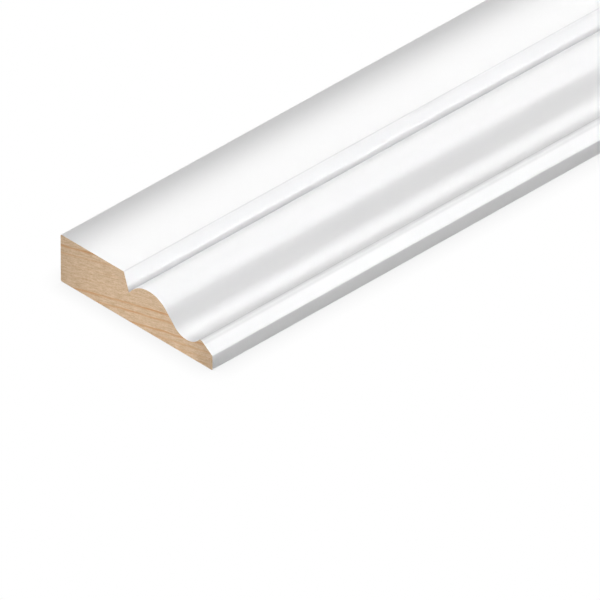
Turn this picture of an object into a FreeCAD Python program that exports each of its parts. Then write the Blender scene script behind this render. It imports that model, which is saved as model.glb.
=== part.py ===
# Architrave moulding: one length of white primed timber door surround, lying on its flat back.
# The section is thick at its outer edge and thin at its nose. Inwards from the outer edge it has
# a broad flat, a steep fillet down to a quirk, an ogee, a small bead and a chamfer to the nose.
# Millimetres. +X along the length, +Y towards the thick outer edge, +Z up out of the moulded
# face. The origin is the middle of the flat back.

import FreeCAD
import Part

import math
import os

# The stick, at the sizes in which such stock is sold
length = 2100.0
width = 69.0
thickness = 18.0

# The fillet that drops from the flat into the quirk
moulded_width = 40.2
fillet_lean_deg = 18.6

# The crest of the ogee, inwards from the nose and down from the flat, and its slope
crest_inset = 28.8
crest_drop = 2.0
crest_radius = 10.5
ogee_slope_deg = 47.4
ogee_straight = 5.9

# The hollow at the foot of the ogee, and the chamfer that ends the moulding
hollow_radius = 7.2
chamfer_slope_deg = 35.5
nose_drop = 12.5

# Rounding left by the cutters and by sanding before the primer
arris_radius = 0.5
flat_arris_radius = 0.4
bead_radius = 1.2
quirk_radius = 0.25

# The two edges, the back and the flat
outer_y = width / 2
nose_y = -width / 2
back_z = 0.0
face_z = back_z + thickness


def on_circle(centre, radius, angle_deg):
    """The point of a circle at an angle from +Y towards +Z, as (y, z)."""
    angle = math.radians(angle_deg)
    return centre[0] + radius * math.cos(angle), centre[1] + radius * math.sin(angle)


def angle_at(centre, point):
    """The angle of a point about a centre, in degrees from +Y towards +Z."""
    return math.degrees(math.atan2(point[1] - centre[1], point[0] - centre[0]))


def meeting_circle(point, angle_deg, centre, radius, far):
    """Where the line through a point at an angle crosses a circle, at its far or near side."""
    angle = math.radians(angle_deg)
    step_y, step_z = math.cos(angle), math.sin(angle)
    to_y, to_z = centre[0] - point[0], centre[1] - point[1]
    nearest = to_y * step_y + to_z * step_z
    half_chord = math.sqrt(radius**2 - (to_y**2 + to_z**2 - nearest**2))
    reach = nearest + half_chord if far else nearest - half_chord
    return point[0] + reach * step_y, point[1] + reach * step_z


def section_points():
    """The corners, arc ends and arc centres of the section by name, each as (y, z)."""
    outer_face = (outer_y, face_z)
    flat_arris = (nose_y + moulded_width, face_z)
    nose_face = (nose_y, face_z - nose_drop)
    # The ogee leaves the crest over a short straight into the hollow, tangent all the way.
    crest_centre = (nose_y + crest_inset, face_z - crest_drop - crest_radius)
    square_to_ogee = 90.0 + ogee_slope_deg
    ogee_top = on_circle(crest_centre, crest_radius, square_to_ogee)
    ogee_foot = on_circle(ogee_top, ogee_straight, 180.0 + ogee_slope_deg)
    hollow_centre = on_circle(ogee_foot, hollow_radius, square_to_ogee)
    # The fillet cuts into the crest's arc, and the chamfer's line into the hollow's arc.
    fillet_deg = 270.0 - fillet_lean_deg
    return {
        "outer_back": (outer_y, back_z),
        "outer_face": outer_face,
        "flat_arris": flat_arris,
        "quirk": meeting_circle(flat_arris, fillet_deg, crest_centre, crest_radius, False),
        "crest_centre": crest_centre,
        "ogee_top": ogee_top,
        "ogee_foot": ogee_foot,
        "hollow_centre": hollow_centre,
        "bead": meeting_circle(nose_face, chamfer_slope_deg, hollow_centre, hollow_radius, False),
        "nose_face": nose_face,
        "nose_back": (nose_y, back_z),
    }


def at_left_end(point):
    """A point of the section as a vector in the plane of the left end."""
    return FreeCAD.Vector(-length / 2, point[0], point[1])


def straight(start, end):
    """A straight run of the section."""
    return Part.LineSegment(at_left_end(start), at_left_end(end)).toShape()


def arc(centre, radius, start, end, top_deg):
    """An arc of the section from start to end, through its middle near the angle top_deg."""
    first = top_deg + (angle_at(centre, start) - top_deg + 180.0) % 360.0 - 180.0
    last = top_deg + (angle_at(centre, end) - top_deg + 180.0) % 360.0 - 180.0
    middle = on_circle(centre, radius, (first + last) / 2)
    return Part.Arc(at_left_end(start), at_left_end(middle), at_left_end(end)).toShape()


def long_edge(solid, point):
    """The edge that runs the whole length through a corner of the section."""
    corner = FreeCAD.Vector(0, point[0], point[1])
    return min(
        (edge for edge in solid.Edges if edge.Length > length / 2),
        key=lambda edge: edge.CenterOfMass.distanceToPoint(corner),
    )


def eased(solid, radius, points):
    """The stick with the long edges at these corners of its section rounded."""
    return solid.makeFillet(radius, [long_edge(solid, point) for point in points])


def build_moulding():
    """The whole stick: its section drawn once, run along the length, then its edges eased."""
    at = section_points()
    section = Part.Wire(
        [
            straight(at["outer_back"], at["outer_face"]),
            straight(at["outer_face"], at["flat_arris"]),
            straight(at["flat_arris"], at["quirk"]),
            arc(at["crest_centre"], crest_radius, at["quirk"], at["ogee_top"], 90.0),
            straight(at["ogee_top"], at["ogee_foot"]),
            arc(at["hollow_centre"], hollow_radius, at["ogee_foot"], at["bead"], 270.0),
            straight(at["bead"], at["nose_face"]),
            straight(at["nose_face"], at["nose_back"]),
            straight(at["nose_back"], at["outer_back"]),
        ]
    )
    stick = Part.Face(section).extrude(FreeCAD.Vector(length, 0, 0))
    outer_arrises = [at["outer_back"], at["outer_face"], at["nose_face"], at["nose_back"]]
    stick = eased(stick, arris_radius, outer_arrises)
    stick = eased(stick, flat_arris_radius, [at["flat_arris"]])
    stick = eased(stick, quirk_radius, [at["quirk"]])
    return eased(stick, bead_radius, [at["bead"]])


os.makedirs("parts", exist_ok=True)
moulding = build_moulding()
moulding.exportStep("parts/architrave_moulding.step")
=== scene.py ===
# Looks of an architrave moulding: machined softwood, primed white on its long faces, with both
# ends sawn square and bare. It lies on its back on a pale floor. Metres, in the part's own frame:
# +X along the length, +Y towards the thick outer edge, +Z out of the moulded face.

import math

import bpy
from mathutils import Matrix, Vector, noise


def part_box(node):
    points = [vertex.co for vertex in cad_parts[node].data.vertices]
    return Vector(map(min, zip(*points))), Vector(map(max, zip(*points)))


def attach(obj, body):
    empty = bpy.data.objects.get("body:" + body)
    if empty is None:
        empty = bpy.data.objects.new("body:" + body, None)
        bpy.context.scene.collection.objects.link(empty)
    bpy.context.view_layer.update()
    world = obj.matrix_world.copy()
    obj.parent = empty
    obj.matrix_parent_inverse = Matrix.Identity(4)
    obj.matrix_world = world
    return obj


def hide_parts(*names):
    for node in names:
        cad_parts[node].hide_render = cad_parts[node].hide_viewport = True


MM = 0.001

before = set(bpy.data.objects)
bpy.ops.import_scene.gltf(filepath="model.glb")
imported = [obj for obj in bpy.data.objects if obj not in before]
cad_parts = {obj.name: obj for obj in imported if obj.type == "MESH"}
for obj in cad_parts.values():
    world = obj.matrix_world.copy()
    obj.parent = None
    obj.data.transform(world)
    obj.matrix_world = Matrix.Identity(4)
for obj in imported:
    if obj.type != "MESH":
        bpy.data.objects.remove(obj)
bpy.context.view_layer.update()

# The stick's place and overall size come from the frame
NODE = "architrave_moulding"
LOW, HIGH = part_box(NODE)
LEFT_X, RIGHT_X = LOW.x, HIGH.x
NOSE_Y, OUTER_Y = LOW.y, HIGH.y
BACK_Z, FACE_Z = LOW.z, HIGH.z

# The section's own sizes, as the part states them
MOULDED_WIDTH = 40.2 * MM
FILLET_LEAN = 18.6
CREST_INSET = 28.8 * MM
CREST_DROP = 2.0 * MM
CREST_RADIUS = 10.5 * MM
OGEE_SLOPE = 47.4
OGEE_STRAIGHT = 5.9 * MM
HOLLOW_RADIUS = 7.2 * MM
CHAMFER_SLOPE = 35.5
NOSE_DROP = 12.5 * MM
ARRIS_RADIUS = 0.5 * MM
FLAT_ARRIS_RADIUS = 0.4 * MM
BEAD_RADIUS = 1.2 * MM
QUIRK_RADIUS = 0.25 * MM

# How finely the mesh follows the section, its height and its length
PITCH = 0.35 * MM
SMALLEST_ARC_STEPS = 6
END_ROWS = 44
BAYS = 42
SHARP_ANGLE = 40.0

# Where the surfaces lie on the image that they can be baked to: the long faces along its foot,
# the right end above them and the left end on top, each as a share of the image
UV_MARGIN = 0.01
UV_WIDTH = 0.98
LONG_FACES_HEIGHT = 0.34
END_HEIGHT = 0.29
RIGHT_END_FOOT = 0.38
LEFT_END_FOOT = 0.70

# The two finishes, by their order on the mesh
PRIMED, BARE = 0, 1

# The saw leaves the ends a little rough: how deep, and in how many cycles to the metre
SAW_DEPTH = 0.06 * MM
SAW_GRAIN = 900.0

# Growth rings on the sawn ends: how they lie in the section, and where each dark line falls,
# measured square to the rings from the thick edge's back corner, with how strongly it shows
RING_TILT = 14.0
RING_RADIUS = 2000 * MM
RING_REACH = 17 * MM
RING_MIDDLE = Vector((2.5 * MM, 7.0 * MM))
RINGS = (
    (-14.6 * MM, 0.30),
    (-12.4 * MM, 0.30),
    (-10.1 * MM, 0.50),
    (-7.5 * MM, 0.95),
    (-3.5 * MM, 0.85),
    (-0.8 * MM, 1.00),
    (3.6 * MM, 0.10),
    (7.6 * MM, 0.14),
    (11.3 * MM, 0.45),
    (13.9 * MM, 1.00),
)

# How slowly a ring darkens, how sharply it ends, and how far the rings drift from end to end
RING_RISE = 0.9 * MM
RING_FALL = 0.25 * MM
RING_DRIFT = 3.0 * MM

# How the rings wander: cycles to the metre along each axis, and how far to each side
SLOW_WAVES = (1.5, 24.0, 50.0)
SLOW_SWAY = 0.7 * MM
QUICK_WAVES = (3.0, 120.0, 260.0)
QUICK_SWAY = 0.3 * MM

# Finishes, as linear colours
PRIMER = (0.884, 0.882, 0.884, 1.0)
# Painted shade: the grey that the primer turns to on its arris and in its creases, in place of shade
PAINTED_SHADE_GREY = (0.700, 0.700, 0.705, 1.0)
PALE_WOOD = (0.680, 0.512, 0.356, 1.0)
DEEP_WOOD = (0.500, 0.340, 0.200, 1.0)
LATEWOOD = (0.520, 0.262, 0.102, 1.0)

# The primer's fine relief, in cycles to the metre along each axis: slow clouds that vary its
# gloss, the wood's grain under it, and its own slight peel
PRIMER_CLOUDS = (7.0, 25.0, 25.0)
PRIMER_ROUGHNESS = (0.40, 0.50)
HIDDEN_GRAIN = (30.0, 900.0, 900.0)
HIDDEN_GRAIN_SHARE = 0.6
PRIMER_PEEL = (420.0, 420.0, 420.0)
PRIMER_RELIEF = 0.02 * MM
PRIMER_BUMP = 0.2

# The bare wood's grain, in cycles to the metre along the stick, along a ring and across the rings:
# streaks and the torn tips of the fibres, and the patches where the rings fade
STREAKS = (20.0, 260.0, 1600.0)
STREAK_SHARE = 0.65
TIPS = (40.0, 1100.0, 2600.0)
TIP_SHARE = 0.35
PATCHES = (4.0, 70.0, 240.0)
FAINTEST_RING = 0.55
WOOD_ROUGHNESS = (0.80, 0.95)
WOOD_RELIEF = 0.10 * MM
WOOD_BUMP = 0.4

# The middle stretch of a noise's values, from wide to narrow, within which most of them lie
WIDE_MIDDLE = (0.3, 0.7)
MIDDLE = (0.34, 0.66)
NARROW_MIDDLE = (0.35, 0.65)

# Painted shade, greying the primer where shade falls: inwards from the nose, up from the back,
# how far it reaches and how strongly. They are the arris at the flat's edge, the quirk and both
# sides of the bead.
PAINTED_SHADE_LINES = (
    (40.2 * MM, 18.0 * MM, 0.45 * MM, 0.9),
    (37.9 * MM, 11.2 * MM, 0.9 * MM, 0.9),
    (5.85 * MM, 8.75 * MM, 0.75 * MM, 1.0),
    (3.9 * MM, 8.3 * MM, 0.8 * MM, 0.5),
)

# The camera's place is worked out from the photo: a very long lens, because its edges are parallel
CAMERA_AZIMUTH = -44.2817
CAMERA_ELEVATION = 34.8902
CAMERA_LENS = 1600.0
CAMERA_LOOKS_AT = (-1.003146, -0.025963, 0.0)
CAMERA_DISTANCE = 8.43885
CAMERA_NEAR, CAMERA_FAR = 0.1, 100.0

# Floor and backdrop: white to the camera, a plain pale grey to the light. The floor lies a hair
# under the back, and keeps a faint shadow close to the stick.
WHITE = (1.0, 1.0, 1.0, 1.0)
FLOOR_HALF = 20.0
FLOOR_DROP = 0.05 * MM
FLOOR_ALBEDO = 0.65
SHADOW_REACH = 8 * MM
SHADOW_DEPTH = 0.20
SHADOW_SAMPLES = 16

# The light. A level is a soft panel's own brightness or, for a gridded lamp, that of a white card
# that faces it, and 1 is white. All the long lamps reach past both ends.
SKY_FILL = 0.15
LAMP_LENGTH = 4.0

# The two soft panels: their middle, the way they face, their breadth, spread and level
SOFT_PANELS = {
    "soft_top": ((0.0, 0.15, 1.5), (0.0, 0.0, -1.0), 2.0, 180.0, 0.455),
    "soft_outer": ((0.0, 1.5, 0.35), (0.0, -1.5, -0.35), 0.5, 60.0, 1.10),
}

# The gridded bands: the angle that each shines from, its two borders, its distance, spread and
# level. Those from straight above end softly before the outer edge.
FLAT_END = OUTER_Y - 6.0 * MM
BANDS = {
    "over_all": (90.0, (FLAT_END - 0.6, FLAT_END), 0.318, 5.0, 0.130),
    "over_face": (90.0, (NOSE_Y + 11.0 * MM, FLAT_END), 0.318, 5.0, 0.280),
    "from_nose": (30.0, (-0.116, 0.134), 0.5, 6.0, 0.096),
    "to_fillet": (21.3, (7.3 * MM, 25.0 * MM), 0.2, 2.0, 0.370),
    "to_chamfer": (35.0, (-15.4 * MM, -9.8 * MM), 0.2, 1.2, 0.600),
    "to_hollow": (115.0, (-22.5 * MM, -18.5 * MM), 0.2, 2.0, 0.450),
    "to_nose": (5.0, (-3.2 * MM, 2.3 * MM), 0.2, 1.5, 0.128),
}

# The two lamps that face the sawn ends, each the size of the section
END_LAMP_DISTANCE = 0.6
END_LAMP_SPREAD = 15.0
END_LAMP_LEVEL = 3.8


def polar(centre, degrees, radius):
    """The point at an angle and distance from a centre, in the section's (y, z) plane."""
    angle = math.radians(degrees)
    return centre + radius * Vector((math.cos(angle), math.sin(angle)))


def first_meeting(start, degrees, centre, radius):
    """The first point where the line from start at an angle meets a circle."""
    along = polar(Vector((0.0, 0.0)), degrees, 1.0)
    to_centre = centre - start
    nearest = to_centre.dot(along)
    half_chord = math.sqrt(radius**2 - (to_centre.length_squared - nearest**2))
    return start + (nearest - half_chord) * along


def arc(centre, start, end):
    """Points of the arc about a centre from start to end, the shorter way round."""
    first = math.atan2(*(start - centre).yx)
    turn = math.atan2(*(end - centre).yx) - first
    turn = (turn + math.pi) % math.tau - math.pi
    radius = (start - centre).length
    steps = max(SMALLEST_ARC_STEPS, math.ceil(abs(turn) * radius / PITCH))
    turned = [math.degrees(first + turn * step / steps) for step in range(steps + 1)]
    return [polar(centre, degrees, radius) for degrees in turned]


def straight(start, end):
    """Points between start and end, a mesh pitch apart, without start and end themselves."""
    steps = max(1, math.ceil((end - start).length / PITCH))
    return [start.lerp(end, step / steps) for step in range(1, steps)]


def eased_corner(before, corner, after, radius):
    """Points of the arc that rounds the corner between two straight runs."""
    back, on = (before - corner).normalized(), (after - corner).normalized()
    half = back.angle(on) / 2
    centre = corner + (back + on).normalized() * radius / math.sin(half)
    reach = radius / math.tan(half)
    return arc(centre, corner + back * reach, corner + on * reach)


def rounding(start, degrees, centre, radius, small):
    """The small circle right of a line, up against a larger one: its middle and where it touches."""
    rolling = polar(start, degrees - 90, small)
    middle = first_meeting(rolling, degrees, centre, radius + small)
    on_line = polar(middle, degrees + 90, small)
    on_circle = centre + (middle - centre) * radius / (radius + small)
    return middle, on_line, on_circle


def face_outline():
    """The section's upper outline, from the outer edge over the moulding to the nose."""
    outer_back = Vector((OUTER_Y, BACK_Z))
    outer_face = Vector((OUTER_Y, FACE_Z))
    flat_arris = Vector((NOSE_Y + MOULDED_WIDTH, FACE_Z))
    nose_face = Vector((NOSE_Y, FACE_Z - NOSE_DROP))
    nose_back = Vector((NOSE_Y, BACK_Z))
    crest = Vector((NOSE_Y + CREST_INSET, FACE_Z - CREST_DROP - CREST_RADIUS))
    square_to_ogee = 90 + OGEE_SLOPE
    ogee_top = polar(crest, square_to_ogee, CREST_RADIUS)
    ogee_foot = polar(ogee_top, 180 + OGEE_SLOPE, OGEE_STRAIGHT)
    hollow = polar(ogee_foot, square_to_ogee, HOLLOW_RADIUS)
    fillet_angle = 270 - FILLET_LEAN
    quirk, fillet_foot, crest_start = rounding(
        flat_arris, fillet_angle, crest, CREST_RADIUS, QUIRK_RADIUS
    )
    bead, chamfer_top, hollow_end = rounding(
        nose_face, CHAMFER_SLOPE, hollow, HOLLOW_RADIUS, BEAD_RADIUS
    )
    outer_easing = eased_corner(outer_back, outer_face, flat_arris, ARRIS_RADIUS)
    flat_easing = eased_corner(outer_face, flat_arris, fillet_foot, FLAT_ARRIS_RADIUS)
    nose_easing = eased_corner(chamfer_top, nose_face, nose_back, ARRIS_RADIUS)
    return [
        *outer_easing,
        *straight(outer_easing[-1], flat_easing[0]),
        *flat_easing,
        *straight(flat_easing[-1], fillet_foot),
        *arc(quirk, fillet_foot, crest_start),
        *arc(crest, crest_start, ogee_top)[1:],
        *straight(ogee_top, ogee_foot),
        *arc(hollow, ogee_foot, hollow_end),
        *arc(bead, hollow_end, chamfer_top)[1:],
        *straight(chamfer_top, nose_easing[0]),
        *nose_easing,
    ]


def back_height(y):
    """The height of the back at y: flat, with both long edges eased."""
    inward = min(OUTER_Y - y, y - NOSE_Y)
    if inward >= ARRIS_RADIUS:
        return BACK_Z
    return BACK_Z + ARRIS_RADIUS - math.sqrt(ARRIS_RADIUS**2 - (ARRIS_RADIUS - inward) ** 2)


def saw_bite(point):
    """How far the saw's roughness sinks a point of an end below the square cut."""
    return SAW_DEPTH * abs(noise.noise(point * SAW_GRAIN))


class Stick:
    """The closed mesh of the stick: columns along the outline, rows up each, bays along X."""

    def __init__(self):
        self.outline = face_outline()
        self.columns = len(self.outline) - 1
        self.points = []
        self.numbers = {}
        self.faces = []
        self.uvs = []
        self.finishes = []

    def point(self, bay, column, row):
        """The number of the vertex at a place of the grid, made when it is first asked for."""
        key = (bay, column, row)
        if key not in self.numbers:
            top = self.outline[column]
            low = back_height(top.x)
            at = Vector((0.0, top.x, low + (top.y - low) * row / END_ROWS))
            at.x = LEFT_X + (RIGHT_X - LEFT_X) * bay / BAYS
            inside = 0 < column < self.columns and 0 < row < END_ROWS
            if inside:
                at.x += saw_bite(at) if bay == 0 else -saw_bite(at)
            self.numbers[key] = len(self.points)
            self.points.append(at)
        return self.numbers[key]

    def add(self, corners, uvs, finish):
        """One face."""
        self.faces.append(corners)
        self.uvs.extend(uvs)
        self.finishes.append(finish)


def end_uv(stick, column, row, foot):
    """The place on the image of a point of an end."""
    across = (OUTER_Y - stick.outline[column].x) / (OUTER_Y - NOSE_Y)
    return UV_MARGIN + UV_WIDTH * across, foot + END_HEIGHT * row / END_ROWS


def add_end(stick, bay, foot):
    """A sawn end as a grid of columns and rows."""
    for column in range(stick.columns):
        for row in range(END_ROWS):
            cells = [(column, row), (column + 1, row), (column + 1, row + 1), (column, row + 1)]
            if bay:
                cells.reverse()
            corners = [stick.point(bay, *cell) for cell in cells]
            stick.add(corners, [end_uv(stick, *cell, foot) for cell in cells], BARE)


def add_long_faces(stick):
    """The face, the two edges and the back, as strips that run from end to end."""
    columns = stick.columns
    path = [(column, END_ROWS) for column in range(columns + 1)]
    path += [(columns, row) for row in range(END_ROWS - 1, -1, -1)]
    path += [(column, 0) for column in range(columns - 1, -1, -1)]
    path += [(0, row) for row in range(1, END_ROWS + 1)]
    at = [stick.points[stick.point(0, *cell)] for cell in path]
    run = [0.0]
    for before, after in zip(at, at[1:]):
        run.append(run[-1] + (after - before).length)
    girth = run[-1]
    for bay in range(BAYS):
        u = [UV_MARGIN + UV_WIDTH * (bay + step) / BAYS for step in (0, 1)]
        for place in range(len(path) - 1):
            near, far = path[place], path[place + 1]
            shares = [run[place + step] / girth for step in (0, 1)]
            v = [UV_MARGIN + LONG_FACES_HEIGHT * share for share in shares]
            corners = [
                stick.point(bay, *near),
                stick.point(bay, *far),
                stick.point(bay + 1, *far),
                stick.point(bay + 1, *near),
            ]
            uvs = [(u[0], v[0]), (u[0], v[1]), (u[1], v[1]), (u[1], v[0])]
            stick.add(corners, uvs, PRIMED)


def build_stick():
    """The whole stick as one object with its two finishes."""
    stick = Stick()
    add_end(stick, 0, LEFT_END_FOOT)
    add_end(stick, BAYS, RIGHT_END_FOOT)
    add_long_faces(stick)
    mesh = bpy.data.meshes.new("architrave_stick")
    mesh.from_pydata(stick.points, [], stick.faces)
    layer = mesh.uv_layers.new(name="OFBake")
    layer.uv.foreach_set("vector", [value for uv in stick.uvs for value in uv])
    mesh.polygons.foreach_set("material_index", stick.finishes)
    mesh.shade_smooth()
    mesh.set_sharp_from_angle(angle=math.radians(SHARP_ANGLE))
    mesh.materials.append(primer_paint())
    mesh.materials.append(bare_end_grain())
    piece = bpy.data.objects.new("architrave_stick", mesh)
    bpy.context.collection.objects.link(piece)
    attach(piece, "root")
    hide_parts(NODE)
    return piece


def new_tree(name):
    """A new material and its empty node tree."""
    material = bpy.data.materials.new(name)
    material.use_nodes = True
    material.node_tree.nodes.clear()
    return material, material.node_tree


def add_node(tree, kind, inputs=None, **settings):
    """A node with its settings, each input given as a value or as the socket that feeds it."""
    made = tree.nodes.new("ShaderNode" + kind)
    for name, value in settings.items():
        setattr(made, name, value)
    for name, value in (inputs or {}).items():
        if isinstance(value, bpy.types.NodeSocket):
            tree.links.new(value, made.inputs[name])
        else:
            made.inputs[name].default_value = value
    return made


def stretched_noise(tree, place, stretch, detail=2.0, roughness=0.5):
    """Noise whose grain has its own size along each axis, given as cycles to the metre."""
    scaled = add_node(tree, "VectorMath", {0: place, 1: stretch}, operation="MULTIPLY")
    values = {"Vector": scaled.outputs[0], "Scale": 1.0, "Detail": detail, "Roughness": roughness}
    return add_node(tree, "TexNoise", values).outputs[0]


def ranged(tree, value, from_low, from_high, to_low, to_high):
    """A value carried linearly from one range to another."""
    inputs = {"Value": value, 1: from_low, 2: from_high, 3: to_low, 4: to_high}
    return add_node(tree, "MapRange", inputs).outputs[0]


def mixed(tree, factor, first, second):
    """Two colours mixed."""
    inputs = {0: factor, 6: first, 7: second}
    return add_node(tree, "Mix", inputs, data_type="RGBA").outputs[2]


def finished(tree, color, roughness, normal):
    """The surface shader and the material's output."""
    inputs = {"Base Color": color, "Roughness": roughness, "Normal": normal}
    shader = add_node(tree, "BsdfPrincipled", inputs)
    add_node(tree, "OutputMaterial", {"Surface": shader.outputs[0]})


def painted_shade_line(tree, section, line):
    """How strongly the painted shade greys the primer along one line of the stick: most on it, 0 at
    its reach.
    """
    inset, height, reach, strength = line
    middle = {0: section, 1: (0.0, NOSE_Y + inset, BACK_Z + height)}
    away = add_node(tree, "VectorMath", middle, operation="DISTANCE").outputs["Value"]
    inputs = {"Value": away, 1: 0.0, 2: reach, 3: strength, 4: 0.0}
    return add_node(tree, "MapRange", inputs, interpolation_type="SMOOTHSTEP").outputs[0]


def primer_paint():
    """White primer with a soft sheen, and painted shade that greys it on the sharp arris and in the
    creases.
    """
    material, tree = new_tree("primer_paint")
    place = add_node(tree, "TexCoord").outputs["Object"]
    in_section = {0: place, 1: (0.0, 1.0, 1.0)}
    section = add_node(tree, "VectorMath", in_section, operation="MULTIPLY").outputs[0]
    # Painted shade: the primer is mixed towards grey along the arris, the quirk and both sides of
    # the bead
    grey = [painted_shade_line(tree, section, line) for line in PAINTED_SHADE_LINES]
    most = grey[0]
    for share in grey[1:]:
        most = add_node(tree, "Math", {0: most, 1: share}, operation="MAXIMUM").outputs[0]
    color = mixed(tree, most, PRIMER, PAINTED_SHADE_GREY)
    cloud = stretched_noise(tree, place, PRIMER_CLOUDS)
    grain = stretched_noise(tree, place, HIDDEN_GRAIN)
    peel = stretched_noise(tree, place, PRIMER_PEEL, 1.0)
    rough = ranged(tree, cloud, *WIDE_MIDDLE, *PRIMER_ROUGHNESS)
    both = {0: grain, 1: HIDDEN_GRAIN_SHARE, 2: peel}
    height = add_node(tree, "Math", both, operation="MULTIPLY_ADD").outputs[0]
    relief = {"Strength": PRIMER_BUMP, "Distance": PRIMER_RELIEF, "Height": height}
    bump = add_node(tree, "Bump", relief)
    finished(tree, color, rough, bump.outputs[0])
    return material


def grain_place(tree, place):
    """Each point's place in the grain: along the stick, along its ring, and out from the pith."""
    outward = polar(Vector((0.0, 0.0)), 90 - RING_TILT, 1.0)
    from_corner = (RING_MIDDLE - Vector((OUTER_Y, BACK_Z))).dot(outward)
    pith = RING_MIDDLE - (RING_RADIUS + from_corner) * outward
    from_pith = {0: place, 1: (0.0, pith.x, pith.y)}
    apart = add_node(tree, "VectorMath", from_pith, operation="SUBTRACT").outputs[0]
    in_section = {0: apart, 1: (0.0, 1.0, 1.0)}
    flat = add_node(tree, "VectorMath", in_section, operation="MULTIPLY").outputs[0]
    radius = add_node(tree, "VectorMath", {0: flat}, operation="LENGTH").outputs["Value"]
    across = {0: place, 1: (0.0, -outward.y, outward.x)}
    along = add_node(tree, "VectorMath", across, operation="DOT_PRODUCT").outputs["Value"]
    x = add_node(tree, "SeparateXYZ", {0: place}).outputs[0]
    shifts = [
        ranged(tree, stretched_noise(tree, place, SLOW_WAVES), 0.0, 1.0, -SLOW_SWAY, SLOW_SWAY),
        ranged(tree, stretched_noise(tree, place, QUICK_WAVES), 0.0, 1.0, -QUICK_SWAY, QUICK_SWAY),
        ranged(tree, x, LEFT_X, RIGHT_X, 0.0, RING_DRIFT),
    ]
    out = add_node(tree, "Math", {0: radius, 1: RING_RADIUS}, operation="SUBTRACT").outputs[0]
    for shift in shifts:
        out = add_node(tree, "Math", {0: out, 1: shift}, operation="ADD").outputs[0]
    return add_node(tree, "CombineXYZ", {0: x, 1: along, 2: out}).outputs[0], out


def bare_end_grain():
    """Softwood sawn across: growth rings, and the streaks and torn tips of the fibres."""
    material, tree = new_tree("bare_end_grain")
    place = add_node(tree, "TexCoord").outputs["Object"]
    grain, out = grain_place(tree, place)
    ramp = add_node(tree, "ValToRGB", {0: ranged(tree, out, -RING_REACH, RING_REACH, 0.0, 1.0)})
    set_rings(ramp.color_ramp)
    streaks = stretched_noise(tree, grain, STREAKS, 2.0, 0.6)
    tips = stretched_noise(tree, grain, TIPS, 1.0, 0.5)
    patches = stretched_noise(tree, grain, PATCHES, 1.0)
    streaky = {0: streaks, 1: STREAK_SHARE}
    streaky = add_node(tree, "Math", streaky, operation="MULTIPLY").outputs[0]
    darker = {0: tips, 1: TIP_SHARE, 2: streaky}
    darker = add_node(tree, "Math", darker, operation="MULTIPLY_ADD").outputs[0]
    earlywood = mixed(tree, ranged(tree, darker, *MIDDLE, 0.0, 1.0), PALE_WOOD, DEEP_WOOD)
    fading = ranged(tree, patches, *NARROW_MIDDLE, FAINTEST_RING, 1.0)
    late = {0: ramp.outputs[0], 1: fading}
    late = add_node(tree, "Math", late, operation="MULTIPLY").outputs[0]
    color = mixed(tree, late, earlywood, LATEWOOD)
    rough = ranged(tree, tips, *WIDE_MIDDLE, *WOOD_ROUGHNESS)
    relief = {"Strength": WOOD_BUMP, "Distance": WOOD_RELIEF, "Height": darker}
    bump = add_node(tree, "Bump", relief)
    finished(tree, color, rough, bump.outputs[0])
    return material


def set_rings(ramp):
    """A stop before, on and after each ring's dark line: it darkens slowly and ends sharply."""
    ramp.interpolation = "EASE"
    for middle, strength in RINGS:
        for shift, share in ((-RING_RISE, 0.0), (0.0, strength), (RING_FALL, 0.0)):
            position = (middle + shift + RING_REACH) / (2 * RING_REACH)
            stop = ramp.elements.new(min(max(position, 0.0), 1.0))
            stop.color = (share, share, share, 1.0)
    ramp.elements.remove(ramp.elements[0])
    ramp.elements[-1].color = (0.0, 0.0, 0.0, 1.0)


def seen_directly(tree):
    """1 for what the camera sees, also in metal and through glass, and 0 for the light."""
    path = add_node(tree, "LightPath").outputs
    either = {0: path["Is Camera Ray"], 1: path["Is Glossy Ray"]}
    either = add_node(tree, "Math", either, operation="MAXIMUM").outputs[0]
    any_of_them = {0: either, 1: path["Is Transmission Ray"]}
    return add_node(tree, "Math", any_of_them, operation="MAXIMUM").outputs[0]


def build_floor():
    """A wide plain floor, white to the camera, that keeps the stick's faint contact shadow."""
    half = FLOOR_HALF
    mesh = bpy.data.meshes.new("floor")
    corners = [(-half, -half, 0.0), (half, -half, 0.0), (half, half, 0.0), (-half, half, 0.0)]
    mesh.from_pydata(corners, [], [(0, 1, 2, 3)])
    floor = bpy.data.objects.new("floor", mesh)
    floor.location.z = BACK_Z - FLOOR_DROP
    bpy.context.collection.objects.link(floor)
    material, tree = new_tree("pale_floor")
    reach = {"Distance": SHADOW_REACH}
    open_sky = add_node(tree, "AmbientOcclusion", reach, samples=SHADOW_SAMPLES)
    shade = ranged(tree, open_sky.outputs["AO"], 0.0, 1.0, 1.0 - SHADOW_DEPTH, 1.0)
    white = add_node(tree, "Emission", {"Strength": shade, "Color": WHITE})
    grey = (FLOOR_ALBEDO, FLOOR_ALBEDO, FLOOR_ALBEDO, 1.0)
    matt = add_node(tree, "BsdfDiffuse", {"Color": grey})
    either = {0: seen_directly(tree), 1: matt.outputs[0], 2: white.outputs[0]}
    surface = add_node(tree, "MixShader", either)
    add_node(tree, "OutputMaterial", {"Surface": surface.outputs[0]})
    mesh.materials.append(material)


def build_world():
    """White behind the floor for the camera, and a low even fill for the light."""
    world = bpy.data.worlds.new("backdrop")
    world.use_nodes = True
    tree = world.node_tree
    tree.nodes.clear()
    strength = ranged(tree, seen_directly(tree), 0.0, 1.0, SKY_FILL, 1.0)
    white = add_node(tree, "Background", {"Strength": strength, "Color": WHITE})
    add_node(tree, "OutputWorld", {"Surface": white.outputs[0]})
    bpy.context.scene.world = world


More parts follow.
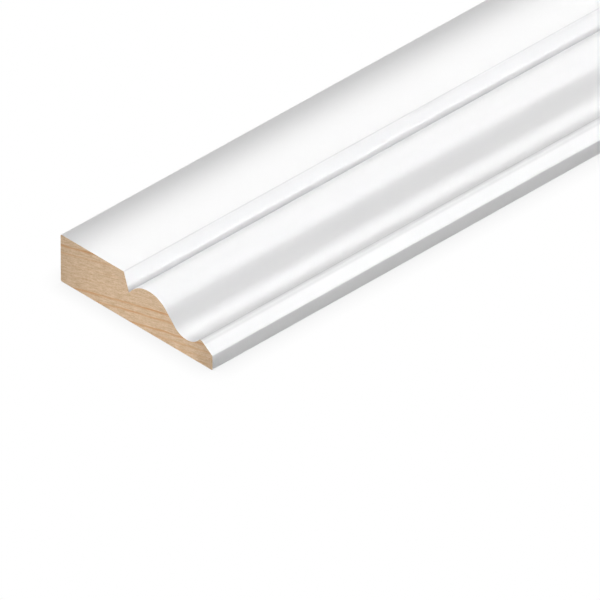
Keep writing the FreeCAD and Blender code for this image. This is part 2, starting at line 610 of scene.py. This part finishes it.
def add_panel(name, middle, faces, size, spread, level):
    """A flat lamp that the camera doesn't see. Size is along X, or Y for an end, and across."""
    lamp = bpy.data.lights.new(name, "AREA")
    lamp.shape = "RECTANGLE"
    lamp.size, lamp.size_y = size
    lamp.spread = math.radians(spread)
    lamp.energy = math.pi * size[0] * size[1] * level
    panel = bpy.data.objects.new(name, lamp)
    panel.location = middle
    direction = Vector(faces).normalized()
    side = Vector((0.0, 1.0, 0.0)) if abs(direction.x) > 0.5 else Vector((1.0, 0.0, 0.0))
    axes = Matrix((side, side.cross(direction), -direction))
    panel.rotation_euler = axes.transposed().to_euler()
    panel.visible_camera = False
    bpy.context.collection.objects.link(panel)


def add_band(name, height, band, distance, spread, level):
    """A long lamp along X with a grid, so that it lights one band of the section.

    It shines from an angle above the nose's side, over the face to 180 on the outer side. The
    band is its two borders, measured square to the beam from the middle of the back.
    """
    beam = polar(Vector((0.0, 0.0)), -height, 1.0)
    across = polar(Vector((0.0, 0.0)), 90 - height, 1.0)
    middle = across * (band[0] + band[1]) / 2 - beam * distance
    size = (LAMP_LENGTH, band[1] - band[0])
    add_panel(name, (0.0, *middle), (0.0, *beam), size, spread, level)


def build_lamps():
    """Soft light from above and behind, gridded bands along the section's steps, and the ends."""
    for name, (middle, faces, across, spread, level) in SOFT_PANELS.items():
        add_panel(name, middle, faces, (LAMP_LENGTH, across), spread, level)
    for name, band in BANDS.items():
        add_band(name, *band)
    middle_y, middle_z = (NOSE_Y + OUTER_Y) / 2, (BACK_Z + FACE_Z) / 2
    size = (OUTER_Y - NOSE_Y, FACE_Z - BACK_Z)
    ends = {
        "left_end": (LEFT_X - END_LAMP_DISTANCE, 1.0),
        "right_end": (RIGHT_X + END_LAMP_DISTANCE, -1.0),
    }
    for name, (x, way) in ends.items():
        middle = (x, middle_y, middle_z)
        add_panel(name, middle, (way, 0.0, 0.0), size, END_LAMP_SPREAD, END_LAMP_LEVEL)


def build_camera():
    """The camera of the photo."""
    lens = bpy.data.cameras.new("camera")
    lens.lens = CAMERA_LENS
    lens.clip_start = CAMERA_NEAR
    lens.clip_end = CAMERA_FAR
    camera = bpy.data.objects.new("camera", lens)
    azimuth, elevation = math.radians(CAMERA_AZIMUTH), math.radians(CAMERA_ELEVATION)
    back = Vector(
        (
            math.sin(azimuth) * math.cos(elevation),
            -math.cos(azimuth) * math.cos(elevation),
            math.sin(elevation),
        )
    )
    camera.location = Vector(CAMERA_LOOKS_AT) + back * CAMERA_DISTANCE
    camera.rotation_euler = back.to_track_quat("Z", "Y").to_euler()
    bpy.context.collection.objects.link(camera)
    bpy.context.scene.camera = camera


build_stick()
build_floor()
build_world()
build_lamps()
build_camera()
bpy.context.scene.view_settings.view_transform = "Standard"
